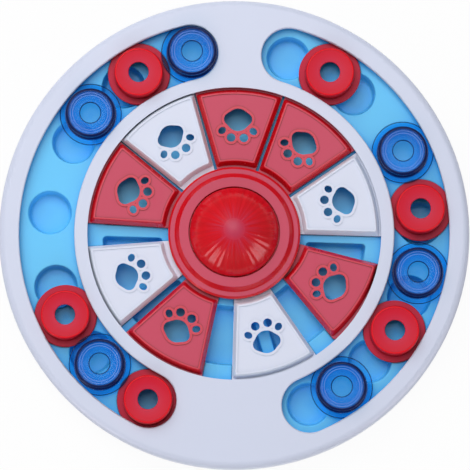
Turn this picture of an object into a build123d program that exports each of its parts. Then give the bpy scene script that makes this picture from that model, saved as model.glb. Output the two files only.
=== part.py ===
from build123d import *
from math import asin, cos, degrees, radians, sin
import os

os.makedirs("parts", exist_ok=True)

# Dog puzzle feeder: a round treat tray under a slotted cover, with nine sliding
# paw lids, twelve sliding knobs and a press button in the middle.
# Millimetres. Z = 0 is the underside of the rubber feet, and +Y points at the
# narrow bridge of the cover. Angles count counter-clockwise from +X, in degrees.

# ---- Heights of the tray ------------------------------------------------------
foot_proud = 2.0          # how far the feet stand out below the tray
tray_wall = 1.8           # wall, floor and deck thickness of the tray
well_floor_z = 5.0        # top of the treat wells' floors
well_depth = 9.0
deck_z = well_floor_z + well_depth

# ---- Sliding knobs ------------------------------------------------------------
knob_r = 14.6
knob_wall = 1.8
knob_top_t = 2.0
knob_h = 12.4
knob_edge_r = 1.2
knob_rim_w = 1.3          # raised rim round the knob's dished top
knob_rim_drop = 0.35      # rim to the dish beside it
knob_dish_drop = 0.9      # rim to the dish at the hole
knob_hole_r = 6.0
knob_hole_edge_r = 0.4
flange_r = 18.5
flange_t = 1.6
flange_edge_r = 0.4
slide_clear = 0.2         # height of a sliding piece over the deck
flange_gap = 0.3          # height between a low flange and a high one
knob_headroom = 0.4       # height between a high flange and the cover
knob_side_gap = 0.3       # least gap between neighbouring knobs
knob_z = deck_z + slide_clear
high_flange_z = knob_z + flange_t + flange_gap
knob_top_z = knob_z + knob_h

# ---- Cover plate --------------------------------------------------------------
cover_plate_t = 2.9
cover_wall = 2.4
cover_edge_r = 4.0
cover_lip_r = 0.8
cover_under_z = high_flange_z + flange_t + knob_headroom
cover_top_z = cover_under_z + cover_plate_t
cover_gap = 0.3           # between the cover's skirt and the tray's wall
cover_seat_gap = 0.3      # between the cover's skirt and the tray's rim flange
rim_flange_t = 1.7
partition_t = 1.7         # ring wall between the lids and the knobs
partition_gap = 0.5       # from the ring wall to the knobs' flanges

# ---- Paw lids -----------------------------------------------------------------
wedge_count = 10          # wedge wells; there is one lid fewer
lid_len = 51.4            # radial length of a lid's flange
lid_flange_t = 2.6
lid_h = 8.1               # from the flange's underside to the lid's top face
lid_wall = 2.0
lid_inset = 1.0           # side edge, inside the wedge's own side line
lid_bevel = 2.0           # how far the sides lean in towards the top
lid_corner_r = 1.6
lid_edge_r = 0.6
lid_rim_w = 1.1           # rim left round the sunk panel of the top face
panel_drop = 0.6
panel_corner_r = 0.4
lid_tongue_in = 3.8       # flange inside the raised part, under the centre cap
lid_tongue_out = 2.2      # flange outside the raised part, under the cover
lid_side_gap = 0.3        # least gap between neighbouring lids
lid_in_gap = 1.2          # from the hub wall to a lid's flange
lid_out_gap = 2.3         # from a lid's flange to the partition
opening_gap = 1.0         # raised part of a lid to the cover
paw_margin = 1.5          # rim left round the holes of the paw
pad_x = 66.4              # centre of the paw's pad, from the middle of the toy
pad_wide = 16.8
pad_long = 11.0
pad_lobe_r = 3.8
pad_crown_r = 6.8
inner_toe_r = 2.6
inner_toe_x = 57.0
inner_toe_y = 3.8
outer_toe_long_r = 2.45
outer_toe_wide_r = 2.05
outer_toe_x = 61.0
outer_toe_y = 9.3
outer_toe_splay = 50.0

# ---- Treat wells --------------------------------------------------------------
wedge_rib_w = 7.0         # rib left between two wedge wells
wedge_in_margin = 5.8     # well edge outside the lid flange's inner edge
wedge_out_margin = 10.1   # well edge inside the lid flange's outer edge
well_lean = 1.3           # how far a well's wall leans in towards the floor
wedge_corner_r = 2.2
well_edge_r = 0.6
well_floor_r = 1.4        # rounding between a well's wall and floor
round_well_r = 13.0
round_well_pitch = 23.25  # degrees
round_wells_a_side = 7
round_well_shift = 1.0    # wells sit a little inside the knobs' track
side_centre = 5.0         # middle of the right-hand slot, degrees
slot_play = 1.8           # knob boss to the slot's edge

# ---- Hub, cap and button ------------------------------------------------------
hub_r = 36.0
hub_wall = 2.0
hub_top_z = 21.0
cap_t = 2.2
cap_step_wall = 1.1       # level thickness of the cap's steep step
cap_lid_gap = 1.7         # cap's edge to the raised part of a lid
cap_lift = 0.4            # cap's skirt over the lids' flanges
cap_band_z = 23.2         # outer band of the cap
cap_top_z = 27.0          # inner band of the cap
cap_outer_band_w = 2.7
cap_step_w = 2.6
cap_edge_w = 1.2
cap_edge_drop = 1.3
cap_corner_r = 0.5
cap_post_r = 2.6
cap_tower_wall = 0.75
cap_tower_z = 18.0        # top of the hub's screw towers
button_r = 26.4
button_h = 18.0           # dome's height over the cap
button_wall = 2.0
button_gap = 0.4
button_flange_w = 1.9
button_flange_t = 1.5
button_flange_drop = 0.4  # play under the cap
flank_pull = 0.25         # share of the height where the flank starts to turn in
crown_pull = 0.42         # share of the radius where the crown starts to level out
pusher_r = 16.8
pusher_wall = 1.8
pusher_z = 25.0
bellows_r = 16.6
bellows_fold = 3.6
bellows_t = 1.2
bellows_fold_t = 1.8      # level thickness of a fold's wall
bellows_folds = 5
reed_r = 4.6
reed_h = 4.0
reed_hole_r = 1.2
reed_edge_r = 0.6
vent_r = 3.0
fit_gap = 0.1             # clearance of pieces that seat in one another

# ---- Screws and feet ----------------------------------------------------------
screw_r = 1.3
screw_len = 7.2
screw_head_r = 2.4
screw_head_t = 1.8
screw_slot_len = 3.4
screw_slot_w = 0.8
screw_slot_deep = 0.9
pilot_gap = 0.05
shank_gap = 0.3
head_gap = 0.3
screw_seat_t = 2.0        # plate that a screw head clamps
rim_post_r = 2.5
bridge_post_r = 3.5
bridge_angle = -90
bridge_spread = 8.0       # the two screws of the wide bridge, either side of it
post_clear = 0.7          # knob flange to a rim post
tower_wall = 1.5
foot_r = 7.0
foot_seat = 1.5           # how deep a foot sits in its socket
foot_edge_r = 0.8
foot_track_in = 9.3       # feet, inside the rim posts' circle
rib_t = 1.6
rib_z = 7.0

# ---- Radii, worked out from the middle outwards --------------------------------
lid_in_r = hub_r + lid_in_gap
lid_out_r = lid_in_r + lid_len
lid_middle_r = (lid_in_r + lid_out_r) / 2
block_in_r = lid_in_r + lid_tongue_in
block_out_r = lid_out_r - lid_tongue_out
cap_r = block_in_r - cap_lid_gap
partition_r = lid_out_r + lid_out_gap
track_r = partition_r + partition_t + partition_gap + flange_r
slot_half = knob_r + slot_play
opening_r = block_out_r + opening_gap
post_track_r = track_r + flange_r + post_clear + rim_post_r
tray_r = post_track_r + rim_post_r + tower_wall
cover_r = tray_r + cover_gap + cover_wall
foot_track_r = post_track_r - foot_track_in
wedge_in_r = lid_in_r + wedge_in_margin
wedge_out_r = lid_out_r - wedge_out_margin
wedge_pitch = 360 / wedge_count
well_track_r = track_r - round_well_shift
tower_r = screw_head_r + head_gap + tower_wall
tray_z = foot_proud
cup_z = well_floor_z - tray_wall
deck_under_z = deck_z - tray_wall
cover_skirt_z = tray_z + rim_flange_t + cover_seat_gap
lid_z = deck_z + slide_clear
lid_flange_top_z = lid_z + lid_flange_t
lid_top_z = lid_z + lid_h
cap_skirt_z = lid_flange_top_z + cap_lift
cap_under_z = cap_top_z - cap_t
flange_top_z = cap_under_z - button_flange_drop
flange_under_z = flange_top_z - button_flange_t
apex_z = cap_top_z + button_h
base_align = (Align.CENTER, Align.CENTER, Align.MIN)
top_align = (Align.CENTER, Align.CENTER, Align.MAX)

# ---- Where the sliding pieces stand --------------------------------------------
slot_half_span = round_well_pitch * (round_wells_a_side - 1) / 2
left_centre = 180 - side_centre
knob_touch = degrees(2 * asin((flange_r + knob_r + knob_side_gap) / (2 * track_r)))
lid_touch = wedge_pitch - degrees((2 * lid_inset - lid_side_gap) / (lid_out_r - lid_corner_r))

# Free play in degrees, in each run of knobs, counted from an end of its slot.
left_first_run = (-0.45, 0.44, 2.24)
left_last_run = (0.25, 1.14, 1.14)
right_first_run = (11.25, 6.54, 2.04, 2.34, 1.34)
right_last_run = (13.75,)
# Free play in front of each lid, after the first one.
first_lid_angle = 18.1
lid_plays = (1.13, 0.83, 0.23, 0.23, 9.03, 2.83, 11.63, 10.63)
lid_colours = ("white", "red", "red", "white", "red", "white", "red", "white", "red")
tilted_lid = 9            # this lid stands askew in its track
lid_tilt = -4.5
outer_lids = (4, 6)       # these lids stand at the outer side of their track
lid_shift = 1.2


def run_of_knobs(end_angle, direction, plays):
    """Angles of a run of knobs that starts at one end of a slot."""
    angles = [end_angle + direction * plays[0]]
    for play in plays[1:]:
        angles.append(angles[-1] + direction * (knob_touch + play))
    return angles


def ray(radius, angle):
    """Point at a radius and an angle round the middle of the toy."""
    return (radius * cos(radians(angle)), radius * sin(radians(angle)))


def section_plane(radius, angle):
    """Upright plane for a revolved section, standing at a point of the toy."""
    outward = (cos(radians(angle)), sin(radians(angle)), 0)
    sideways = (sin(radians(angle)), -cos(radians(angle)), 0)
    return Plane(origin=(*ray(radius, angle), 0), x_dir=outward, z_dir=sideways)


def radial_plane(angle, height, tilt=0, tilt_radius=0, shift=0):
    """Level plane whose X axis points outward, tilted about a point on that axis and moved outward."""
    turned = angle + tilt
    pivot = ray(tilt_radius + shift, angle)
    arm = ray(tilt_radius, turned)
    origin = (pivot[0] - arm[0], pivot[1] - arm[1], height)
    return Plane(origin=origin, x_dir=(cos(radians(turned)), sin(radians(turned)), 0), z_dir=(0, 0, 1))


def band(r_in, r_out, z_low, z_high):
    """Rectangle in a revolved section."""
    with Locations(((r_in + r_out) / 2, (z_low + z_high) / 2)):
        Rectangle(r_out - r_in, z_high - z_low)


def sector(r_in, r_out, inset, corner_r):
    """Rounded sector of one wedge pitch, with its sides moved in by an inset."""
    half_out = wedge_pitch / 2 - degrees(asin(inset / r_out))
    half_in = wedge_pitch / 2 - degrees(asin(inset / r_in))
    with BuildLine() as outline:
        outer = CenterArc((0, 0), r_out, -half_out, 2 * half_out)
        inner = CenterArc((0, 0), r_in, -half_in, 2 * half_in)
        Line(outer @ 1, inner @ 1)
        Line(inner @ 0, outer @ 0)
    make_face(outline.edges())
    fillet(vertices(), corner_r)


def paw(grow):
    """The four toes and the pad of a paw print, grown by a margin."""
    for side in (-1, 1):
        with Locations((inner_toe_x, side * inner_toe_y)):
            Circle(inner_toe_r + grow)
        with Locations((outer_toe_x, side * outer_toe_y)):
            Ellipse(outer_toe_long_r + grow, outer_toe_wide_r + grow, rotation=-side * outer_toe_splay)
    lobe_y = pad_wide / 2 - pad_lobe_r
    lobe_x = pad_x + pad_long / 2 - pad_lobe_r
    with BuildSketch(mode=Mode.PRIVATE) as pad:
        with Locations((lobe_x, lobe_y), (lobe_x, -lobe_y)):
            Circle(pad_lobe_r + grow)
        with Locations((pad_x - pad_long / 2 + pad_crown_r, 0)):
            Circle(pad_crown_r + grow)
        make_hull()
    add(pad.sketch)


def finish(piece, name):
    """Name a piece and write it."""
    piece.label = name
    export_step(piece, f"parts/{name}.step")


def slots(height):
    """The two curved slots of the cover, as a sketch."""
    for centre in (side_centre, left_centre):
        track = CenterArc((0, 0), track_r, centre - slot_half_span, 2 * slot_half_span)
        SlotArc(track, height)


# ---- Screw and foot positions ---------------------------------------------------
well_steps = [step - (round_wells_a_side - 1) / 2 for step in range(round_wells_a_side)]
well_angles = [side_centre + round_well_pitch * step for step in well_steps]
post_angles = [side_centre + round_well_pitch * step for step in (-2, 0, 2)]
foot_angles = [side_centre + round_well_pitch * step for step in (-2.5, -0.5, 1.5)]
foot_angles += [180 - angle for angle in foot_angles]
bridge_posts = [ray(track_r, angle) for angle in (90, bridge_angle - bridge_spread, bridge_angle + bridge_spread)]
rim_posts = [ray(post_track_r, angle) for angle in post_angles + [180 - angle for angle in post_angles]]
foot_points = [ray(foot_track_r, angle) for angle in foot_angles]
well_points = [ray(well_track_r, angle) for angle in well_angles + [180 - angle for angle in well_angles]]
rib_angles = [angle + round_well_pitch / 2 for angle in well_angles[:-1]]
rib_angles += [180 - angle for angle in rib_angles]
rib_out_r = tray_r - tray_wall / 2
cap_post_track_r = hub_r - hub_wall - cap_post_r
cap_posts = [ray(cap_post_track_r, angle) for angle in (90, 210, 330)]
cover_seat_z = deck_z - screw_seat_t
cap_seat_z = cap_tower_z - screw_seat_t

# ---- Base tray ------------------------------------------------------------------
with BuildPart() as base_tray:
    with BuildSketch(Plane.XZ):
        band(hub_r - hub_wall, tray_r, deck_under_z, deck_z)
        band(tray_r - tray_wall, tray_r, tray_z, deck_z)
        band(tray_r - tray_wall, cover_r - cover_gap, tray_z, tray_z + rim_flange_t)
        band(partition_r, partition_r + partition_t, rib_z, cover_under_z - fit_gap)
        band(hub_r - hub_wall, hub_r, cup_z, hub_top_z)
        band(0, hub_r, cup_z, well_floor_z)
    revolve(axis=Axis.Z)
    # Cups below the deck.
    for index in range(wedge_count):
        with BuildSketch(radial_plane(wedge_pitch * (index + 0.5), cup_z)):
            sector(
                wedge_in_r - tray_wall, wedge_out_r + tray_wall,
                wedge_rib_w / 2 - tray_wall, wedge_corner_r + tray_wall,
            )
    extrude(amount=well_depth)
    with BuildSketch(Plane.XY.offset(cup_z)):
        with Locations(well_points):
            Circle(round_well_r + tray_wall)
    extrude(amount=well_depth)
    # Towers for the screws, sockets for the feet, and ribs.
    with BuildSketch(Plane.XY.offset(rib_z)):
        with Locations(rim_posts + bridge_posts):
            Circle(tower_r)
    extrude(amount=deck_z - rib_z)
    with BuildSketch(Plane.XY.offset(cup_z)):
        with Locations(cap_posts):
            Circle(screw_head_r + head_gap + cap_tower_wall)
    extrude(amount=cap_tower_z - cup_z)
    with BuildSketch(Plane.XY.offset(tray_z)):
        with Locations(foot_points):
            Circle(foot_r + fit_gap + tower_wall)
    extrude(amount=deck_under_z - tray_z)
    for angle in rib_angles:
        with BuildSketch(radial_plane(angle, rib_z)):
            with Locations(((partition_r + rib_out_r) / 2, 0)):
                Rectangle(rib_out_r - partition_r, rib_t)
    extrude(amount=deck_under_z - rib_z)
    # Treat wells.
    for index in range(wedge_count):
        wedge_angle = wedge_pitch * (index + 0.5)
        with BuildSketch(radial_plane(wedge_angle, deck_z)):
            sector(wedge_in_r, wedge_out_r, wedge_rib_w / 2, wedge_corner_r)
        with BuildSketch(radial_plane(wedge_angle, well_floor_z)):
            sector(
                wedge_in_r + well_lean, wedge_out_r - well_lean,
                wedge_rib_w / 2 + well_lean, wedge_corner_r,
            )
        loft(ruled=True, mode=Mode.SUBTRACT)
        pocket = edges(Select.LAST).group_by(Axis.Z)
        fillet(pocket[0], well_floor_r)
        fillet(pocket[-1], well_edge_r)
    with Locations([(x, y, well_floor_z) for x, y in well_points]):
        Cone(round_well_r - well_lean, round_well_r, well_depth, align=base_align, mode=Mode.SUBTRACT)
    pockets = edges(Select.LAST).group_by(Axis.Z)
    fillet(pockets[0], well_floor_r)
    fillet(pockets[-1], well_edge_r)
    # Screw holes, foot sockets and the squeaker's vent.
    with Locations([(x, y, deck_z) for x, y in rim_posts + bridge_posts]):
        Cylinder(screw_r + shank_gap, deck_z, align=top_align, mode=Mode.SUBTRACT)
    with Locations([(x, y, cover_seat_z) for x, y in rim_posts + bridge_posts]):
        Cylinder(screw_head_r + head_gap, cover_seat_z, align=top_align, mode=Mode.SUBTRACT)
    with Locations([(x, y, cap_tower_z) for x, y in cap_posts]):
        Cylinder(screw_r + shank_gap, cap_tower_z, align=top_align, mode=Mode.SUBTRACT)
    with Locations([(x, y, cap_seat_z) for x, y in cap_posts]):
        Cylinder(screw_head_r + head_gap, cap_seat_z, align=top_align, mode=Mode.SUBTRACT)
    with Locations([(x, y, tray_z) for x, y in foot_points]):
        Cylinder(foot_r + fit_gap, foot_seat, align=base_align, mode=Mode.SUBTRACT)
    Cylinder(vent_r, well_floor_z, align=base_align, mode=Mode.SUBTRACT)
finish(base_tray.part, "base_tray")

# ---- Top cover --------------------------------------------------------------------
with BuildPart() as top_cover:
    with BuildSketch(Plane.XZ):
        band(opening_r, cover_r, cover_under_z, cover_top_z)
        band(cover_r - cover_wall, cover_r, cover_skirt_z, cover_top_z)
        rim_corners = vertices().group_by(Axis.Y)[-1].sort_by(Axis.X)
        fillet(rim_corners[-1], cover_edge_r)
        fillet(rim_corners[0], cover_lip_r)
    revolve(axis=Axis.Z)
    with BuildSketch(Plane.XY.offset(cover_top_z)):
        slots(2 * slot_half)
    extrude(amount=-cover_plate_t, mode=Mode.SUBTRACT)
    fillet(edges(Select.LAST).group_by(Axis.Z)[-1], cover_lip_r)
    with BuildSketch(Plane.XY.offset(deck_z)):
        with Locations(rim_posts):
            Circle(rim_post_r)
        with Locations(bridge_posts):
            Circle(bridge_post_r)
    extrude(amount=cover_under_z - deck_z)
    with Locations([(x, y, deck_z) for x, y in rim_posts + bridge_posts]):
        Cylinder(screw_r + pilot_gap, screw_len - screw_seat_t + fit_gap, align=base_align, mode=Mode.SUBTRACT)
finish(top_cover.part, "top_cover")


# ---- Paw lids ---------------------------------------------------------------------
def paw_lid(angle, tilt, shift):
    """One lid: a flange and a bevelled hollow block with a sunk panel and a cut-out paw."""
    top_in = block_in_r + lid_bevel
    top_out = block_out_r - lid_bevel
    top_inset = lid_inset + lid_bevel
    with BuildPart() as lid:
        with BuildSketch(radial_plane(angle, lid_z, tilt, lid_middle_r, shift)):
            sector(lid_in_r, lid_out_r, lid_inset, lid_corner_r)
        extrude(amount=lid_flange_t)
        with BuildSketch(radial_plane(angle, lid_flange_top_z, tilt, lid_middle_r, shift)):
            sector(block_in_r, block_out_r, lid_inset + fit_gap, lid_corner_r)
        with BuildSketch(radial_plane(angle, lid_top_z, tilt, lid_middle_r, shift)):
            sector(top_in, top_out, top_inset, lid_corner_r)
        loft(ruled=True)
        fillet(lid.faces().sort_by(Axis.Z)[-1].edges(), lid_edge_r)
        with BuildSketch(radial_plane(angle, lid_z, tilt, lid_middle_r, shift)):
            sector(top_in + lid_wall, top_out - lid_wall, top_inset + lid_wall, lid_corner_r)
        extrude(amount=lid_h - lid_wall, mode=Mode.SUBTRACT)
        with BuildSketch(radial_plane(angle, lid_top_z, tilt, lid_middle_r, shift)):
            sector(top_in + lid_rim_w, top_out - lid_rim_w, top_inset + lid_rim_w, panel_corner_r)
            with BuildSketch(mode=Mode.PRIVATE) as island:
                paw(paw_margin)
            add(island.sketch, mode=Mode.SUBTRACT)
        extrude(amount=-panel_drop, mode=Mode.SUBTRACT)
        with BuildSketch(radial_plane(angle, lid_top_z, tilt, lid_middle_r, shift)):
            paw(0)
        extrude(amount=-lid_h, mode=Mode.SUBTRACT)
    return lid.part


lid_angle = first_lid_angle
for index, colour in enumerate(lid_colours):
    tilt = lid_tilt if index + 1 == tilted_lid else 0
    shift = lid_shift if index + 1 in outer_lids else 0
    finish(paw_lid(lid_angle, tilt, shift), f"lid_{index + 1}_{colour}")
    print(f"lid_{index + 1}_{colour} at {lid_angle:.2f} degrees")
    if index < len(lid_plays):
        lid_angle += lid_touch + lid_plays[index]


# ---- Sliding knobs ----------------------------------------------------------------
def sliding_knob(angle, flange_z):
    """One knob: a hollow round boss with a dished top, a through hole and a thin flange."""
    with BuildPart() as knob:
        with BuildSketch(section_plane(track_r, angle)):
            with BuildLine():
                Polyline(
                    (knob_hole_r, knob_top_z - knob_top_t),
                    (knob_hole_r, knob_top_z - knob_dish_drop),
                    (knob_r - knob_rim_w, knob_top_z - knob_rim_drop),
                    (knob_r - knob_rim_w, knob_top_z),
                    (knob_r, knob_top_z),
                    (knob_r, knob_z),
                    (knob_r - knob_wall, knob_z),
                    (knob_r - knob_wall, knob_top_z - knob_top_t),
                    close=True,
                )
            make_face()
            fillet(vertices().group_by(Axis.Y)[-1].sort_by(Axis.X)[-1], knob_edge_r)
            fillet(vertices().group_by(Axis.X)[0].sort_by(Axis.Y)[-1], knob_hole_edge_r)
            band(knob_r - knob_wall, flange_r, flange_z, flange_z + flange_t)
            fillet(vertices().group_by(Axis.X)[-1], flange_edge_r)
        revolve(axis=Axis((*ray(track_r, angle), 0), (0, 0, 1)))
    return knob.part


right_low = side_centre - slot_half_span
right_high = side_centre + slot_half_span
left_low = left_centre - slot_half_span
left_high = left_centre + slot_half_span
right_knobs = run_of_knobs(right_low, 1, right_first_run) + run_of_knobs(right_high, -1, right_last_run)
left_knobs = run_of_knobs(left_low, 1, left_first_run)
left_knobs += reversed(run_of_knobs(left_high, -1, left_last_run))
for index, angle in enumerate(right_knobs + left_knobs):
    colour = "red" if index % 2 else "blue"
    flange_z = knob_z if index % 2 else high_flange_z
    finish(sliding_knob(angle, flange_z), f"knob_{index + 1}_{colour}")
    print(f"knob_{index + 1}_{colour} at {angle:.2f} degrees")

# ---- Centre cap -------------------------------------------------------------------
step_out_r = cap_r - cap_edge_w - cap_outer_band_w
step_in_r = step_out_r - cap_step_w
cap_hole_r = button_r + button_gap
with BuildPart() as centre_cap:
    with BuildSketch(Plane.XZ):
        with BuildLine():
            Polyline(
                (cap_r, cap_skirt_z),
                (cap_r, cap_band_z - cap_edge_drop),
                (cap_r - cap_edge_w, cap_band_z),
                (step_out_r, cap_band_z),
                (step_in_r, cap_top_z),
                (cap_hole_r, cap_top_z),
                (cap_hole_r, cap_under_z),
                (step_in_r - cap_step_wall, cap_under_z),
                (step_out_r - cap_step_wall, hub_top_z),
                (cap_r - cap_t, hub_top_z),
                (cap_r - cap_t, cap_skirt_z),
                close=True,
            )
        make_face()
        fillet(vertices().group_by(Axis.Y)[-1], cap_corner_r)
        fillet(vertices().filter_by_position(Axis.Y, cap_band_z, cap_band_z), cap_corner_r)
    revolve(axis=Axis.Z)
    with BuildSketch(Plane.XY.offset(cap_tower_z)):
        with Locations(cap_posts):
            Circle(cap_post_r)
    extrude(amount=cap_under_z - cap_tower_z)
    with Locations([(x, y, cap_tower_z) for x, y in cap_posts]):
        Cylinder(screw_r + pilot_gap, screw_len - screw_seat_t + fit_gap, align=base_align, mode=Mode.SUBTRACT)
finish(centre_cap.part, "centre_cap")


# ---- Press button -----------------------------------------------------------------
def dome(inset):
    """Half section of the dome, moved in by an inset, down to the button's flange."""
    dome_r = button_r - inset
    rise = button_h - inset
    crown_z = cap_top_z + rise
    with BuildLine() as outline:
        Bezier(
            (dome_r, cap_top_z),
            (dome_r, cap_top_z + flank_pull * rise),
            (crown_pull * dome_r, crown_z),
            (0, crown_z),
        )
        Polyline((0, crown_z), (0, flange_under_z), (dome_r, flange_under_z), (dome_r, cap_top_z))
    make_face(outline.edges())


with BuildPart() as press_button:
    with BuildSketch(Plane.XZ):
        dome(0)
        with BuildSketch(mode=Mode.PRIVATE) as hollow:
            dome(button_wall)
            with Locations((pusher_r - pusher_wall / 2, (pusher_z + apex_z) / 2)):
                Rectangle(pusher_wall, apex_z - pusher_z, mode=Mode.SUBTRACT)
        add(hollow.sketch, mode=Mode.SUBTRACT)
        band(button_r - button_wall, button_r + button_flange_w, flange_under_z, flange_top_z)
    revolve(axis=Axis.Z)
finish(press_button.part, "press_button")

# ---- Squeaker ---------------------------------------------------------------------
fold_rise = (pusher_z - well_floor_z - 2 * bellows_t) / bellows_folds
outer_line = [(bellows_r, well_floor_z), (bellows_r, well_floor_z + bellows_t)]
for fold in range(bellows_folds):
    fold_z = well_floor_z + bellows_t + fold * fold_rise
    outer_line.append((bellows_r - bellows_fold, fold_z + fold_rise / 2))
    outer_line.append((bellows_r, fold_z + fold_rise))
outer_line.append((bellows_r, pusher_z))
inner_line = [(radius - bellows_fold_t, height) for radius, height in outer_line[1:-1]]
with BuildPart() as squeaker_bellows:
    with BuildSketch(Plane.XZ):
        with BuildLine():
            Polyline(
                *outer_line,
                (0, pusher_z),
                (0, pusher_z - bellows_t),
                *reversed(inner_line),
                (reed_r + fit_gap, well_floor_z + bellows_t),
                (reed_r + fit_gap, well_floor_z),
                close=True,
            )
        make_face()
    revolve(axis=Axis.Z)
finish(squeaker_bellows.part, "squeaker_bellows")

with BuildPart() as squeaker_reed:
    with BuildSketch(Plane.XZ):
        band(reed_hole_r, reed_r, well_floor_z, well_floor_z + reed_h)
        fillet(vertices().group_by(Axis.Y)[-1].sort_by(Axis.X)[-1], reed_edge_r)
    revolve(axis=Axis.Z)
finish(squeaker_reed.part, "squeaker_reed")


# ---- Screws -----------------------------------------------------------------------
def screws(points, seat_z):
    """A group of identical cross-head screws whose heads hang below their seats."""
    with BuildPart() as group:
        with BuildSketch(Plane.XY.offset(seat_z)):
            with Locations(points):
                Circle(screw_head_r)
        extrude(amount=-screw_head_t)
        with BuildSketch(Plane.XY.offset(seat_z)):
            with Locations(points):
                Circle(screw_r)
        extrude(amount=screw_len)
        with BuildSketch(Plane.XY.offset(seat_z - screw_head_t)):
            with Locations(points):
                Rectangle(screw_slot_len, screw_slot_w)
                Rectangle(screw_slot_w, screw_slot_len)
        extrude(amount=screw_slot_deep, mode=Mode.SUBTRACT)
    return group.part


finish(screws(rim_posts + bridge_posts, cover_seat_z), "cover_screws")
finish(screws(cap_posts, cap_seat_z), "cap_screws")

# ---- Rubber feet ------------------------------------------------------------------
for index, angle in enumerate(foot_angles):
    with BuildPart() as foot:
        with BuildSketch(section_plane(foot_track_r, angle)):
            band(0, foot_r, 0, foot_proud + foot_seat)
            fillet(vertices().group_by(Axis.Y)[0].sort_by(Axis.X)[-1], foot_edge_r)
        revolve(axis=Axis((*ray(foot_track_r, angle), 0), (0, 0, 1)))
    finish(foot.part, f"foot_{index + 1}")
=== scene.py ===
"""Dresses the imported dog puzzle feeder: finishes, the fluted dome, the studio and the camera."""

import math

import bmesh
import bpy
from bpy.props import FloatProperty, FloatVectorProperty, IntProperty, PointerProperty
from mathutils import Matrix, Vector


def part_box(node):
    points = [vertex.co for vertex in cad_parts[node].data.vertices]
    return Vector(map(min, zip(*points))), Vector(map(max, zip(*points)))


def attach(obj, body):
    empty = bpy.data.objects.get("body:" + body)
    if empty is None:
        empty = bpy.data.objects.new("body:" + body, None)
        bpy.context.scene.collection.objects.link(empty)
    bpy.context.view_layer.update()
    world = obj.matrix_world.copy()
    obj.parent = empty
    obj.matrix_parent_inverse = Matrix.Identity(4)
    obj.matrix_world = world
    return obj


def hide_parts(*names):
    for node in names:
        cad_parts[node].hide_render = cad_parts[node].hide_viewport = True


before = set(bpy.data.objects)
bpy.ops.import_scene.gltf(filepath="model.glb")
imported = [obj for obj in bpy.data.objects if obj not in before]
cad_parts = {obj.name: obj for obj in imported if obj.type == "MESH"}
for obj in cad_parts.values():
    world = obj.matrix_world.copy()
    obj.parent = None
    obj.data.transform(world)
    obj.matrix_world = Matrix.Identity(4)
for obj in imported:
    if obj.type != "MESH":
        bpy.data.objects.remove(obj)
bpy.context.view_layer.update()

bl_info = {
    "name": "Dog puzzle feeder",
    "version": (1, 0, 0),
    "blender": (4, 5, 0),
    "location": "3D View > Sidebar > Feeder",
    "description": "Finishes, fluted dome and studio for a dog puzzle feeder",
    "category": "Object",
}

MM = 0.001

# Every hard plastic
PLASTIC_IOR = 1.5
PLASTIC_GRAIN = 0.45 * MM
NOISE_ROUGHNESS = 0.55
CREASE_SAMPLES = 8
# How far the occlusion looks for painted shade in fine creases and down in wells
FINE_SHADE_REACH = 1.6 * MM
WELL_SHADE_REACH = 16 * MM
SCUFF = 6 * MM
SCUFF_STRETCH = (1.0, 0.12, 0.4)
SATIN_ROUGHNESS = 0.40
RIM_BAND = 0.2 * MM               # height over which a rim turns from the painted sheen of the top faces to polished

# A knob's rings, as distances from its own axis
KNOB_LIP = (5.6 * MM, 6.5 * MM)
KNOB_DISH = (5 * MM, 12 * MM)
KNOB_BOWL = (6 * MM, 13 * MM)
KNOB_RINGS = ((10.3 * MM, 10.7 * MM), (11.7 * MM, 12.1 * MM))
KNOB_WALL = (12.9 * MM, 15.2 * MM)
KNOB_RIM_HIGHLIGHT = (13.1 * MM, 13.9 * MM)
KNOB_TOP_EDGE = (14.5 * MM, 14.9 * MM)
KNOB_FLANGE_START = (15 * MM, 16 * MM)
KNOB_BRIM = (17.8 * MM, 18.1 * MM)

# What share of the light the clear plastic stops
CLEAR_TOP_COVER = 0.42
CLEAR_FLANGE_LESS = 0.40          # taken off this on the flange
CLEAR_WALL_COVER = 0.56           # added to it in walls and edges
CLEAR_SHADOW_LOSS = 0.92          # share of it that doesn't count for shadows

# The dome's section and mesh
DOME_CROWN = 0.42                 # share of the radius where the crown levels out
DOME_FLANK = 0.25                 # share of the height where the flank starts to turn in
DOME_SPANS = 40
DOME_FLANGE = 1.5 * MM
FLUTE_STEPS = 10                  # mesh steps in one flute
FLUTE_START = 0.14                # share of the way down from the apex
FLUTE_FADE = 0.25
FLUTE_SHARPNESS = 0.7
SHARP_EDGE = math.radians(35.0)

# The studio
FLOOR_HALF = 3.0
FLOOR_GLOW = 0.95                 # how much of the floor's white the camera sees as even light
SENSOR_WIDTH = 36.0
PURE_WHITE = (1.0, 1.0, 1.0, 1.0)
KEY_TINT = (1.0, 0.99, 0.98)
SKY_TINT = (0.97, 0.98, 1.0)
GLINT_TINT = (1.0, 0.86, 0.93)
GLINT_LAMPS = {                   # place and size
    "left": ((-0.79, -1.01, 0.35), (0.45, 0.70)),
    "right": ((1.05, -0.74, 0.35), (0.75, 0.60)),
}


# ---- Settings -------------------------------------------------------------------
def colour(name, description, default):
    """A colour property of the add-on."""
    return FloatVectorProperty(
        name=name, description=description, subtype="COLOR", size=3,
        min=0.0, max=1.0, default=default,
    )


def length(name, description, default, most):
    """A length property of the add-on, in metres."""
    return FloatProperty(
        name=name, description=description, subtype="DISTANCE", unit="LENGTH",
        min=0.0, max=most, default=default,
    )


def lamp_power(name, description, default):
    """A lamp power property of the add-on, in watts."""
    return FloatProperty(name=name, description=description, min=0.0, max=500.0, default=default)


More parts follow.
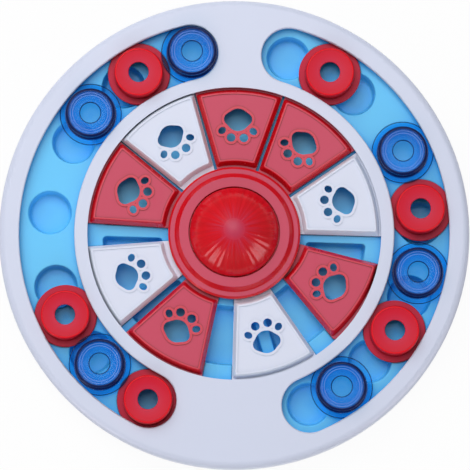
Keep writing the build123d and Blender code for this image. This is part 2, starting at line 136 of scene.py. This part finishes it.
class FeederColours(bpy.types.PropertyGroup):
    """Colours of the feeder's plastics, rubber and screws."""

    tray: colour("Tray", "Light blue plastic of the base tray", (0.14, 0.60, 1.0))
    # Painted shade: a deeper blue standing in for the shade and blue bounce light down in wells and
    # gaps
    tray_shade_tone: colour("Tray, deep", "The same plastic down in wells and gaps", (0.0, 0.38, 1.0))
    cover: colour("Cover", "Lavender-white plastic of the cover", (0.66, 0.70, 0.85))
    lid_white: colour("White lids", "Satin top faces of the white paw lids", (0.72, 0.755, 0.89))
    # Painted light: the white lids' sides are painted lighter than their tops to make up for the
    # light they miss
    lid_side_painted_light: colour("White lid sides", "Polished sides of the white lids", (0.80, 0.87, 1.0))
    red: colour("Red", "Red plastic where it is polished", (0.68, 0.004, 0.012))
    # Painted sheen: red made pale and pinkish where the overhead lamp's reflection falls on top
    # faces
    red_sheen: colour("Satin red", "Red plastic on the satin top faces", (0.58, 0.040, 0.095))
    red_knob: colour("Knob red", "Red plastic on the top faces of the knobs", (0.66, 0.008, 0.030))
    red_flange: colour("Flange red", "Red plastic of the knobs' thin flanges", (0.56, 0.016, 0.050))
    blue: colour("Clear blue", "Plastic of the clear knobs, towards the wall", (0.0, 0.13, 0.66))
    blue_pale: colour("Pale clear blue", "The same plastic near the hole", (0.02, 0.24, 0.76))
    blue_edge: colour("Clear blue edge", "The same plastic seen edge on", (0.002, 0.012, 0.085))
    blue_tint: colour("Clear blue tint", "What its faces do to light", (0.70, 0.93, 1.0))
    bellows: colour("Bellows", "Soft rubber of the squeaker", (0.62, 0.60, 0.55))
    feet: colour("Feet", "Rubber of the feet", (0.03, 0.03, 0.035))
    steel: colour("Screws", "Plated steel of the screws", (0.56, 0.56, 0.58))
    floor: colour("Floor", "Paper that the feeder stands on", (0.86, 0.86, 0.87))


class FeederFinish(bpy.types.PropertyGroup):
    """Sizes of the surface detail."""

    grain: length("Grain", "Size of the moulded grain", PLASTIC_GRAIN, 5 * MM)
    flow: length("Flow marks", "Size of the plastic's flow marks", 38 * MM, 0.2)
    flutes: IntProperty(
        name="Flutes", description="Number of flutes round the dome", default=36, min=6, max=120,
    )
    flute_depth: length("Flute depth", "Depth of the dome's flutes", 0.24 * MM, 2 * MM)
    dome_radius: length("Dome radius", "Radius of the dome at the cap", 26.4 * MM, 60 * MM)
    dome_wall: length("Dome wall", "Thickness of the dome", 2.0 * MM, 10 * MM)


class FeederStudio(bpy.types.PropertyGroup):
    """Camera and lamps."""

    distance: length("Distance", "Camera to the middle of the feeder", 2.5, 10.0)
    lean: FloatProperty(
        name="Lean", description="Camera's lean from straight above", subtype="ANGLE",
        unit="ROTATION", default=math.radians(6.0), min=0.0, max=math.radians(60.0),
    )
    roll: FloatProperty(
        name="Roll", description="Camera's turn about its own axis", subtype="ANGLE",
        unit="ROTATION", default=math.radians(1.74), min=-math.pi, max=math.pi,
    )
    frame_width: length("Frame width", "Width of the picture at the feeder", 0.2798, 2.0)
    target_height: length("Target height", "Height that the camera looks at", 17 * MM, 0.2)
    aim_right: FloatProperty(
        name="Aim right", description="How far right of the middle the camera looks",
        subtype="DISTANCE", unit="LENGTH", default=0.44 * MM, min=-0.1, max=0.1,
    )
    aim_up: FloatProperty(
        name="Aim up", description="How far above the middle the camera looks",
        subtype="DISTANCE", unit="LENGTH", default=-0.81 * MM, min=-0.1, max=0.1,
    )
    key: lamp_power("Key lamp", "Power of the key lamp", 7.0)
    top: lamp_power("Top lamp", "Power of the lamp above", 20.5)
    fill: lamp_power("Fill lamp", "Power of the low lamp in front", 5.0)
    glints: lamp_power("Glint lamps", "Power per square metre of the lamps that only glint", 15.0)
    sky: FloatProperty(
        name="Sky", description="Strength of the even light all round",
        default=0.30, min=0.0, max=5.0,
    )


# ---- Shader maths ---------------------------------------------------------------
class Signal:
    """One output socket of a node tree; arithmetic on it adds Math nodes."""

    def __init__(self, recipe, socket):
        self.recipe = recipe
        self.socket = socket

    def maths(self, operation, *terms):
        """Feeds numbers and signals through one Math node."""
        sockets = dict(enumerate(terms))
        return self.recipe.node("ShaderNodeMath", {"operation": operation}, sockets)["Value"]

    def __add__(self, other):
        return self.maths("ADD", self, other)

    __radd__ = __add__

    def __sub__(self, other):
        return self.maths("SUBTRACT", self, other)

    def __rsub__(self, other):
        return self.maths("SUBTRACT", other, self)

    def __mul__(self, other):
        return self.maths("MULTIPLY", self, other)

    __rmul__ = __mul__

    def __abs__(self):
        return self.maths("ABSOLUTE", self)

    def at_least(self, other):
        """The larger of two values."""
        return self.maths("MAXIMUM", self, other)

    def clamped(self, low, high):
        """0 below low, 1 above high, and a smooth ramp between them."""
        settings = {"interpolation_type": "SMOOTHSTEP"}
        sockets = {"Value": self, "From Min": low, "From Max": high}
        return self.recipe.node("ShaderNodeMapRange", settings, sockets)["Result"]


class Recipe:
    """The node tree of a material or world under construction."""

    def __init__(self, owner):
        owner.use_nodes = True
        self.tree = owner.node_tree
        self.tree.nodes.clear()

    def node(self, kind, settings=None, sockets=None):
        """Adds a node, sets it up, fills its sockets, and returns its outputs by name."""
        made = self.tree.nodes.new(kind)
        for name, value in (settings or {}).items():
            setattr(made, name, value)
        named = {socket.name: socket for socket in made.inputs if socket.enabled}
        for name, value in (sockets or {}).items():
            socket = made.inputs[name] if isinstance(name, int) else named[name]
            if isinstance(value, Signal):
                self.tree.links.new(value.socket, socket)
            else:
                socket.default_value = value
        return {socket.name: Signal(self, socket) for socket in made.outputs if socket.enabled}

    def vectors(self, operation, *terms, result="Vector"):
        """Feeds vectors through one Vector Math node."""
        sockets = dict(enumerate(terms))
        return self.node("ShaderNodeVectorMath", {"operation": operation}, sockets)[result]

    def place(self):
        """Position on the piece, in metres, as it was moulded."""
        return self.node("ShaderNodeTexCoord")["Object"]

    def stretched(self, factors):
        """Position with each axis multiplied by a factor."""
        return self.vectors("MULTIPLY", self.place(), factors)

    def noise(self, size, detail=2.0, where=None):
        """Cloudy value from 0 to 1 whose blotches are about a size across."""
        sockets = {
            "Vector": where or self.place(),
            "Scale": 1.0 / size,
            "Detail": detail,
            "Roughness": NOISE_ROUGHNESS,
        }
        return self.node("ShaderNodeTexNoise", {"noise_dimensions": "3D"}, sockets)["Fac"]

    def blend(self, factor, first, second):
        """Colour between two colours."""
        sockets = {"Factor": factor, "A": first, "B": second}
        return self.node("ShaderNodeMix", {"data_type": "RGBA"}, sockets)["Result"]

    def upward(self):
        """1 where the surface faces up, 0 on its sides, and -1 where it faces down."""
        normal = self.node("ShaderNodeNewGeometry")["Normal"]
        return self.node("ShaderNodeSeparateXYZ", None, {"Vector": normal})["Z"]

    def outward(self, middle=(0.0, 0.0, 0.0)):
        """Flat position measured from a vertical axis, in metres."""
        moved = self.vectors("SUBTRACT", self.place(), middle)
        return self.vectors("MULTIPLY", moved, (1.0, 1.0, 0.0))

    def reach(self, middle=(0.0, 0.0, 0.0)):
        """Distance from a vertical axis, in metres."""
        return self.vectors("LENGTH", self.outward(middle), result="Value")

    def rays(self, count):
        """Streaky value from 0 to 1 that changes only with the angle round the middle."""
        turn = self.vectors("NORMALIZE", self.outward())
        return self.noise(2 * math.pi / count, 2.0, turn)

    def height(self):
        """Height over the table, in metres, with the piece at rest."""
        return self.node("ShaderNodeSeparateXYZ", None, {"Vector": self.place()})["Z"]

    def occlusion(self, width):
        """1 on open faces, lower in creases up to a width across."""
        settings = {"samples": CREASE_SAMPLES}
        return self.node("ShaderNodeAmbientOcclusion", settings, {"Distance": width})["AO"]

    def bump(self, height, depth):
        """Normal of a surface raised by a height from 0 to 1, to a depth in metres."""
        sockets = {"Height": height, "Distance": depth, "Strength": 1.0}
        return self.node("ShaderNodeBump", None, sockets)["Normal"]


def rgba(tone, factor=1.0):
    """A colour property as four numbers, made lighter or darker."""
    return (*(min(1.0, channel * factor) for channel in tone), 1.0)


def band(value, low, high, soft):
    """1 between two values, with soft ends."""
    return value.clamped(low - soft, low + soft) - value.clamped(high - soft, high + soft)


def mottled(recipe, flow, tone, spread):
    """A colour that the flow marks make darker and lighter by a share."""
    return recipe.blend(flow, rgba(tone, 1.0 - spread), rgba(tone, 1.0 + spread))


def shade(recipe, sockets):
    """Ends a material with a Principled shader."""
    surface = recipe.node("ShaderNodeBsdfPrincipled", None, sockets)["BSDF"]
    recipe.node("ShaderNodeOutputMaterial", None, {"Surface": surface})


# ---- Finishes -------------------------------------------------------------------
def moulded(
    name, tone, gloss, grain_depth,
    mottle=0.04, painted_top=None, rim_z=1.0, painted_well_shade=None, shine=0.5, crease_shade=0.35,
):
    """Injection-moulded plastic with flow marks, fine grain, scuffs and painted shade in creases.

    The gloss is its roughness where it is polished. A painted top colour goes on its up-facing
    faces, less so on a rim that ends at rim_z: on red plastic it is painted sheen, the overhead
    lamp's pale reflection, while on the white lids the sides get a tone painted lighter instead.
    A painted shade colour goes down in its wells, and the crease shade is the share of the colour
    that is left in fine creases as painted shade.
    """
    finish = bpy.context.scene.feeder_finish
    material = bpy.data.materials.new(name)
    recipe = Recipe(material)
    flow = recipe.noise(finish.flow, 3.0)
    grain = recipe.noise(finish.grain, 1.0)
    scuffs = recipe.noise(SCUFF, 4.0, recipe.stretched(SCUFF_STRETCH)).clamped(0.60, 0.78)
    base = mottled(recipe, flow, tone, mottle)
    roughness = gloss + 0.05 * flow + 0.06 * scuffs
    if painted_top:
        # Painted light: up-facing faces take the painted top colour, less on a rim (painted sheen
        # on red plastic); their higher roughness is a real satin finish
        rim = recipe.height().clamped(rim_z - RIM_BAND, rim_z)
        up = recipe.upward().clamped(0.80, 0.98) * (1.0 - 0.45 * rim)
        base = recipe.blend(up, base, mottled(recipe, flow, painted_top, mottle))
        roughness = roughness + (SATIN_ROUGHNESS - gloss) * up
    # Painted shade: the deeper tone goes where occlusion finds wells and gaps
    if painted_well_shade:
        base = recipe.blend(recipe.occlusion(WELL_SHADE_REACH).clamped(0.10, 0.70), rgba(painted_well_shade), base)
    # Painted shade: fine creases take a darker copy of the tone
    unshaded = recipe.occlusion(FINE_SHADE_REACH).clamped(0.45, 0.90)
    values = {
        "Base Color": recipe.blend(unshaded, rgba(tone, crease_shade), base),
        "Roughness": roughness,
        "Normal": recipe.bump(grain, grain_depth),
        "IOR": PLASTIC_IOR,
        "Specular IOR Level": shine,
    }
    shade(recipe, values)
    return material


def knob_plastic(name, tones, middle):
    """Red plastic of a knob: painted sheen round the hole and highlight on the rim, darker on the
    flange, painted shade on the sides.
    """
    material = bpy.data.materials.new(name)
    recipe = Recipe(material)
    reach = recipe.reach(middle)
    flow = recipe.noise(30 * MM, 3.0)
    # Painted sheen: the dish round the hole is halfway to the sheen colour
    dish = tuple(0.5 * (painted_top + knob) for painted_top, knob in zip(tones.red_sheen, tones.red_knob))
    top = recipe.blend(reach.clamped(*KNOB_DISH), rgba(dish), rgba(tones.red_knob))
    # Painted highlight: a bright red ring on the rim
    top = recipe.blend(band(reach, *KNOB_RIM_HIGHLIGHT, 0.2 * MM), top, rgba(tones.red, 1.25))
    face = recipe.blend(reach.clamped(*KNOB_TOP_EDGE), top, rgba(tones.red_flange))
    # Painted shade: the sides take a darker copy of the red
    base = recipe.blend(recipe.upward().clamped(0.60, 0.97), rgba(tones.red, 0.8), face)
    # Painted shade in creases
    base = recipe.blend(recipe.occlusion(1.5 * MM).clamped(0.3, 0.85), rgba(tones.red, 0.35), base)
    values = {
        "Base Color": recipe.blend(0.08 * flow, base, rgba(tones.red_flange)),
        "Roughness": 0.30 + 0.08 * flow,
        "Normal": recipe.bump(recipe.noise(PLASTIC_GRAIN, 1.0), 0.010 * MM),
        "IOR": PLASTIC_IOR,
        "Specular IOR Level": 0.15,
    }
    shade(recipe, values)
    return material


def dome_plastic(name, tones):
    """Red plastic of the dome: painted sheen on the apex and in rays down the polished flank."""
    material = bpy.data.materials.new(name)
    recipe = Recipe(material)
    reach = recipe.reach()
    rays = recipe.rays(45).clamped(0.36, 0.66)
    # Painted sheen: the pale red on the apex and in rays stands in for the overhead lamp's
    # reflection
    apex_sheen = 1.0 - reach.clamped(3.0 * MM, 10.5 * MM)
    sheen_rays = (1.0 - reach.clamped(5.0 * MM, 19.0 * MM)) * rays
    # Painted light and shade: the flank is a little lighter and darker in streaks round the dome
    flute_light_streaks = recipe.rays(60).clamped(0.35, 0.65)
    flank = recipe.blend(flute_light_streaks, rgba(tones.red, 0.92), rgba(tones.red, 1.04))
    painted_top = apex_sheen.at_least(0.7 * sheen_rays)
    values = {
        "Base Color": recipe.blend(painted_top, flank, rgba(tones.red_sheen, 0.95)),
        "Roughness": 0.16 + 0.20 * painted_top,
        "Normal": recipe.bump(recipe.noise(PLASTIC_GRAIN, 1.0), 0.005 * MM),
        "IOR": PLASTIC_IOR,
        "Specular IOR Level": 0.3,
    }
    shade(recipe, values)
    return material


def clear_plastic(name, tones, middle):
    """A clear blue knob: see-through face on, dark and dense in its walls and edges."""
    material = bpy.data.materials.new(name)
    recipe = Recipe(material)
    flat = abs(recipe.upward()).clamped(0.55, 0.95)
    reach = recipe.reach(middle)
    wall = band(reach, *KNOB_WALL, 0.25 * MM)
    brim = reach.clamped(*KNOB_BRIM)
    lip = band(reach, *KNOB_LIP, 0.1 * MM)
    dense = (1.0 - flat).at_least(wall).at_least(brim).at_least(lip)
    inner_ring, outer_ring = (band(reach, *ring, 0.2 * MM) for ring in KNOB_RINGS)
    ripple = recipe.noise(14 * MM, 2.0)
    bowl = recipe.blend(reach.clamped(*KNOB_BOWL), rgba(tones.blue_pale), rgba(tones.blue))
    bowl = recipe.blend(0.35 * inner_ring.at_least(outer_ring), bowl, rgba(tones.lid_white))
    shadow = recipe.node("ShaderNodeLightPath")["Is Shadow Ray"]
    values = {
        "Base Color": recipe.blend(dense, bowl, rgba(tones.blue_edge)),
        "Roughness": 0.08 + 0.05 * ripple,
        "Normal": recipe.bump(ripple, 0.05 * MM),
        "IOR": PLASTIC_IOR,
        "Specular IOR Level": 0.15,
    }
    body = recipe.node("ShaderNodeBsdfPrincipled", None, values)["BSDF"]
    tint = {"Color": rgba(tones.blue_tint)}
    tinted = recipe.node("ShaderNodeBsdfTransparent", None, tint)["BSDF"]
    flange = reach.clamped(*KNOB_FLANGE_START)
    stopped = CLEAR_TOP_COVER - CLEAR_FLANGE_LESS * flange + CLEAR_WALL_COVER * dense
    stopped = stopped * (1.0 - CLEAR_SHADOW_LOSS * shadow)
    surface = recipe.node("ShaderNodeMixShader", None, {0: stopped, 1: tinted, 2: body})["Shader"]
    recipe.node("ShaderNodeOutputMaterial", None, {"Surface": surface})
    return material


def rubber(name, tone):
    """Dull rubber with a fine pitted skin."""
    material = bpy.data.materials.new(name)
    recipe = Recipe(material)
    pits = recipe.noise(0.7 * MM, 3.0)
    dust = recipe.noise(9 * MM, 3.0).clamped(0.45, 0.75)
    values = {
        "Base Color": recipe.blend(0.5 * dust, rgba(tone), rgba(tone, 1.6)),
        "Roughness": 0.62 + 0.15 * pits,
        "Normal": recipe.bump(pits, 0.05 * MM),
    }
    shade(recipe, values)
    return material


def plated_steel(name, tone):
    """Zinc-plated steel with fine turning marks."""
    material = bpy.data.materials.new(name)
    recipe = Recipe(material)
    marks = recipe.noise(0.5 * MM, 2.0, recipe.stretched((1.0, 1.0, 8.0)))
    values = {
        "Base Color": recipe.blend(marks, rgba(tone, 0.85), rgba(tone, 1.1)),
        "Metallic": 1.0,
        "Roughness": 0.28 + 0.18 * marks,
    }
    shade(recipe, values)
    return material


def dress(nodes, material):
    """Gives CAD nodes a material."""
    for name in nodes:
        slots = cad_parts[name].material_slots
        if not slots:
            raise RuntimeError(f"{name} has no material slot")
        for slot in slots:
            slot.material = material


def nodes_like(start, end=""):
    """Names of the CAD nodes with a beginning and an end, in order."""
    return sorted(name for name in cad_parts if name.startswith(start) and name.endswith(end))


# ---- Pieces ---------------------------------------------------------------------
class FEEDER_OT_tray(bpy.types.Operator):
    """Finish the light blue base tray."""

    bl_idname = "feeder.tray"
    bl_label = "Base tray"

    def execute(self, context):
        tones = context.scene.feeder_colours
        # Tray: painted shade in its wells and gaps, and in fine creases
        tray = moulded(
            "tray_plastic", tones.tray, 0.22, 0.010 * MM,
            mottle=0.03, painted_well_shade=tones.tray_shade_tone, shine=0.2, crease_shade=0.18,
        )
        dress(["base_tray"], tray)
        return {"FINISHED"}


class FEEDER_OT_cover(bpy.types.Operator):
    """Finish the lavender-white cover."""

    bl_idname = "feeder.cover"
    bl_label = "Cover"

    def execute(self, context):
        tones = context.scene.feeder_colours
        dress(["top_cover"], moulded("cover_plastic", tones.cover, 0.36, 0.016 * MM, mottle=0.015))
        return {"FINISHED"}


class FEEDER_OT_lids(bpy.types.Operator):
    """Finish the red and the white paw lids."""

    bl_idname = "feeder.lids"
    bl_label = "Paw lids"

    def execute(self, context):
        tones = context.scene.feeder_colours
        # White lids: sides in a tone painted lighter, up-facing tops in the lids' own white
        white = moulded(
            "lid_white_plastic", tones.lid_side_painted_light, 0.34, 0.014 * MM,
            mottle=0.015, painted_top=tones.lid_white, crease_shade=0.8,
        )
        rim_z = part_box("lid_1_white")[1].z
        # Red lids: painted sheen on the up-facing faces
        red = moulded(
            "lid_red_plastic", tones.red, 0.24, 0.012 * MM, painted_top=tones.red_sheen, rim_z=rim_z,
        )
        dress(nodes_like("lid_", "_white"), white)
        dress(nodes_like("lid_", "_red"), red)
        return {"FINISHED"}


class FEEDER_OT_knobs(bpy.types.Operator):
    """Finish the red knobs and the clear blue knobs."""

    bl_idname = "feeder.knobs"
    bl_label = "Sliding knobs"

    def execute(self, context):
        tones = context.scene.feeder_colours
        for ending, plastic in (("_red", knob_plastic), ("_blue", clear_plastic)):
            for node in nodes_like("knob_", ending):
                low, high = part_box(node)
                dress([node], plastic(f"{node}_plastic", tones, (low + high) / 2))
        return {"FINISHED"}


class FEEDER_OT_cap(bpy.types.Operator):
    """Finish the red centre cap."""

    bl_idname = "feeder.cap"
    bl_label = "Centre cap"

    def execute(self, context):
        tones = context.scene.feeder_colours
        # Painted sheen on the cap's up-facing bands
        red = moulded("cap_plastic", tones.red, 0.24, 0.012 * MM, painted_top=tones.red_sheen)
        dress(["centre_cap"], red)
        return {"FINISHED"}


def curve_point(controls, t):
    """Point of a four-point Bezier curve in a section, as (radius, height)."""
    weights = ((1 - t) ** 3, 3 * t * (1 - t) ** 2, 3 * t ** 2 * (1 - t), t ** 3)
    return tuple(
        sum(weight * control[axis] for weight, control in zip(weights, controls)) for axis in (0, 1)
    )


def dome_controls(radius, foot_z, apex_z):
    """Control points of the dome's flank, from its apex down to the cap."""
    rise = apex_z - foot_z
    return (
        (0.0, apex_z),
        (DOME_CROWN * radius, apex_z),
        (radius, foot_z + DOME_FLANK * rise),
        (radius, foot_z),
    )


def turned_mesh(name, rings, steps, flute=None):
    """Mesh of a section turned about Z; its first and last rings close in a point on the axis."""
    mesh = bpy.data.meshes.new(name)
    form = bmesh.new()
    loops = []
    for index, (radius, height) in enumerate(rings):
        if radius == 0.0:
            loops.append([form.verts.new((0.0, 0.0, height))])
            continue
        loop = []
        for step in range(steps):
            angle = 2 * math.pi * step / steps
            reach = radius - (flute(index, angle) if flute else 0.0)
            loop.append(form.verts.new((reach * math.cos(angle), reach * math.sin(angle), height)))
        loops.append(loop)
    for upper, lower in zip(loops, loops[1:]):
        for step in range(steps):
            follow = (step + 1) % steps
            if len(upper) == 1:
                form.faces.new((upper[0], lower[step], lower[follow]))
            elif len(lower) == 1:
                form.faces.new((upper[step], lower[0], upper[follow]))
            else:
                form.faces.new((upper[step], lower[step], lower[follow], upper[follow]))
    for face in form.faces:
        face.smooth = True
    form.to_mesh(mesh)
    form.free()
    mesh.set_sharp_from_angle(angle=SHARP_EDGE)
    return mesh


class FEEDER_OT_button(bpy.types.Operator):
    """Make the red press button, a hollow dome with fine radial flutes."""

    bl_idname = "feeder.button"
    bl_label = "Press button"

    def execute(self, context):
        finish = context.scene.feeder_finish
        low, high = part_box("press_button")
        foot_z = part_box("centre_cap")[1].z
        radius = finish.dome_radius
        inner = radius - finish.dome_wall
        outer = dome_controls(radius, foot_z, high.z)
        hollow = dome_controls(inner, foot_z, high.z - finish.dome_wall)
        flank = [curve_point(outer, step / DOME_SPANS) for step in range(DOME_SPANS + 1)]
        inside = [curve_point(hollow, 1 - step / DOME_SPANS) for step in range(DOME_SPANS + 1)]
        flange_top = low.z + DOME_FLANGE
        skirt = [(radius, flange_top), (high.x, flange_top), (high.x, low.z), (inner, low.z)]

        def share(value):
            """A value kept between 0 and 1."""
            return min(1.0, max(0.0, value))

        def flute(index, angle):
            """How far the flutes cut in, fading towards the apex and the foot."""
            if index > DOME_SPANS:
                return 0.0
            t = index / DOME_SPANS
            fade = share((t - FLUTE_START) / FLUTE_FADE) * share((1.0 - t) / FLUTE_FADE)
            wave = 0.5 - 0.5 * math.cos(finish.flutes * angle)
            return finish.flute_depth * fade * wave ** FLUTE_SHARPNESS

        rings = flank + skirt + inside
        mesh = turned_mesh("fluted_dome", rings, FLUTE_STEPS * finish.flutes, flute)
        tones = context.scene.feeder_colours
        mesh.materials.append(dome_plastic("dome_plastic", tones))
        dome = bpy.data.objects.new("fluted_dome", mesh)
        context.scene.collection.objects.link(dome)
        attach(dome, "button")
        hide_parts("press_button")
        return {"FINISHED"}


class FEEDER_OT_squeaker(bpy.types.Operator):
    """Finish the bellows and the reed under the button."""

    bl_idname = "feeder.squeaker"
    bl_label = "Squeaker"

    def execute(self, context):
        tones = context.scene.feeder_colours
        dress(["squeaker_bellows"], rubber("bellows_rubber", tones.bellows))
        dress(["squeaker_reed"], moulded("reed_plastic", tones.cover, 0.40, 0.010 * MM))
        return {"FINISHED"}


class FEEDER_OT_fixings(bpy.types.Operator):
    """Finish the screws and the rubber feet."""

    bl_idname = "feeder.fixings"
    bl_label = "Screws and feet"

    def execute(self, context):
        tones = context.scene.feeder_colours
        dress(["cover_screws", "cap_screws"], plated_steel("screw_steel", tones.steel))
        dress(nodes_like("foot_"), rubber("foot_rubber", tones.feet))
        return {"FINISHED"}


# ---- Studio ---------------------------------------------------------------------
def softbox(name, place, size, power, tint=(1.0, 1.0, 1.0)):
    """An area lamp, as wide and as tall as its size, that points at the feeder."""
    lamp = bpy.data.lights.new(name, "AREA")
    lamp.shape = "RECTANGLE"
    lamp.size, lamp.size_y = size
    lamp.energy = power
    lamp.color = tint
    holder = bpy.data.objects.new(name, lamp)
    bpy.context.scene.collection.objects.link(holder)
    holder.location = place
    aim = Vector((0.0, 0.0, bpy.context.scene.feeder_studio.target_height))
    holder.rotation_euler = (aim - holder.location).to_track_quat("-Z", "Y").to_euler()
    return holder


def paper(name, tone):
    """Matt paper that the camera sees as white where no shadow falls."""
    material = bpy.data.materials.new(name)
    recipe = Recipe(material)
    fibres = {"Color": mottled(recipe, recipe.noise(1.5 * MM, 4.0), tone, 0.01)}
    matt = recipe.node("ShaderNodeBsdfDiffuse", None, fibres)["BSDF"]
    light = {"Color": PURE_WHITE, "Strength": 1.0}
    glow = recipe.node("ShaderNodeEmission", None, light)["Emission"]
    path = recipe.node("ShaderNodeLightPath")
    seen = path["Is Camera Ray"] + path["Is Glossy Ray"] + path["Is Transmission Ray"]
    mix = {0: FLOOR_GLOW * seen, 1: matt, 2: glow}
    surface = recipe.node("ShaderNodeMixShader", None, mix)["Shader"]
    recipe.node("ShaderNodeOutputMaterial", None, {"Surface": surface})
    return material


def camera_axes(studio):
    """Directions towards the camera and up its picture."""
    heading = math.pi / 2 + studio.roll
    up_flat = Vector((math.cos(heading), math.sin(heading), 0.0))
    back = Vector((0.0, 0.0, math.cos(studio.lean))) - up_flat * math.sin(studio.lean)
    return back, back.cross(up_flat.cross(back))


class FEEDER_OT_stage(bpy.types.Operator):
    """Lay the floor and set up the lamps and the camera."""

    bl_idname = "feeder.stage"
    bl_label = "Studio"

    def execute(self, context):
        studio = context.scene.feeder_studio
        tones = context.scene.feeder_colours
        self.lay_floor(tones)
        self.light(studio)
        self.set_camera(context, studio)
        context.scene.view_settings.view_transform = "Standard"
        return {"FINISHED"}

    def lay_floor(self, tones):
        """A wide plain floor under the feet."""
        mesh = bpy.data.meshes.new("floor")
        signs = ((-1, -1), (1, -1), (1, 1), (-1, 1))
        corners = [(x * FLOOR_HALF, y * FLOOR_HALF, 0) for x, y in signs]
        mesh.from_pydata(corners, [], [(0, 1, 2, 3)])
        mesh.materials.append(paper("floor_paper", tones.floor))
        floor = bpy.data.objects.new("floor", mesh)
        bpy.context.scene.collection.objects.link(floor)

    def light(self, studio):
        """Key, top and fill lamps, two lamps that only glint, and even light all round."""
        key = softbox("key_lamp", (-0.60, 0.80, 1.0), (0.9, 0.9), studio.key, KEY_TINT)
        key.visible_glossy = False
        softbox("top_lamp", (-0.2, 0.65, 2.2), (1.5, 1.5), studio.top, SKY_TINT)
        fill = softbox("fill_lamp", (0.0, -1.3, 0.6), (1.2, 0.6), studio.fill)
        fill.visible_glossy = False
        for side, (place, size) in GLINT_LAMPS.items():
            power = studio.glints * size[0] * size[1]
            lamp = softbox(f"{side}_glint_lamp", place, size, power, GLINT_TINT)
            lamp.visible_diffuse = False
        world = bpy.data.worlds.new("studio_sky")
        bpy.context.scene.world = world
        recipe = Recipe(world)
        light = {"Color": rgba(SKY_TINT), "Strength": studio.sky}
        sky = recipe.node("ShaderNodeBackground", None, light)["Background"]
        recipe.node("ShaderNodeOutputWorld", None, {"Surface": sky})

    def set_camera(self, context, studio):
        """A long lens that leans a little from straight above."""
        back, up = camera_axes(studio)
        data = bpy.data.cameras.new("camera")
        data.sensor_width = SENSOR_WIDTH
        data.lens = data.sensor_width * studio.distance / studio.frame_width
        camera = bpy.data.objects.new("camera", data)
        context.scene.collection.objects.link(camera)
        right = up.cross(back)
        turn = Matrix((right, up, back)).transposed().to_4x4()
        target = Vector((0.0, 0.0, studio.target_height))
        target += right * studio.aim_right + up * studio.aim_up
        camera.matrix_world = Matrix.Translation(target + back * studio.distance) @ turn
        context.scene.camera = camera


class FEEDER_PT_panel(bpy.types.Panel):
    """The feeder's settings and pieces in the sidebar."""

    bl_idname = "FEEDER_PT_panel"
    bl_label = "Dog puzzle feeder"
    bl_space_type = "VIEW_3D"
    bl_region_type = "UI"
    bl_category = "Feeder"

    def draw(self, context):
        for holder in GROUPS:
            group = getattr(context.scene, holder)
            box = self.layout.box()
            for name in group.bl_rna.properties.keys():
                if name not in ("rna_type", "name"):
                    box.prop(group, name)
        for step in STEPS:
            self.layout.operator(step.bl_idname)


GROUPS = {
    "feeder_colours": FeederColours,
    "feeder_finish": FeederFinish,
    "feeder_studio": FeederStudio,
}
STEPS = (
    FEEDER_OT_tray,
    FEEDER_OT_cover,
    FEEDER_OT_lids,
    FEEDER_OT_knobs,
    FEEDER_OT_cap,
    FEEDER_OT_button,
    FEEDER_OT_squeaker,
    FEEDER_OT_fixings,
    FEEDER_OT_stage,
)
CLASSES = (*GROUPS.values(), *STEPS, FEEDER_PT_panel)


def register():
    """Registers the classes and hangs the settings on the scene."""
    for each in CLASSES:
        bpy.utils.register_class(each)
    for name, group in GROUPS.items():
        setattr(bpy.types.Scene, name, PointerProperty(type=group))


def unregister():
    """Takes the settings and the classes away again."""
    for name in GROUPS:
        delattr(bpy.types.Scene, name)
    for each in reversed(CLASSES):
        bpy.utils.unregister_class(each)


def main():
    """Builds everything."""
    register()
    bpy.ops.feeder.tray()
    bpy.ops.feeder.cover()
    bpy.ops.feeder.lids()
    bpy.ops.feeder.knobs()
    bpy.ops.feeder.cap()
    bpy.ops.feeder.button()
    bpy.ops.feeder.squeaker()
    bpy.ops.feeder.fixings()
    bpy.ops.feeder.stage()


if __name__ == "__main__":
    main()
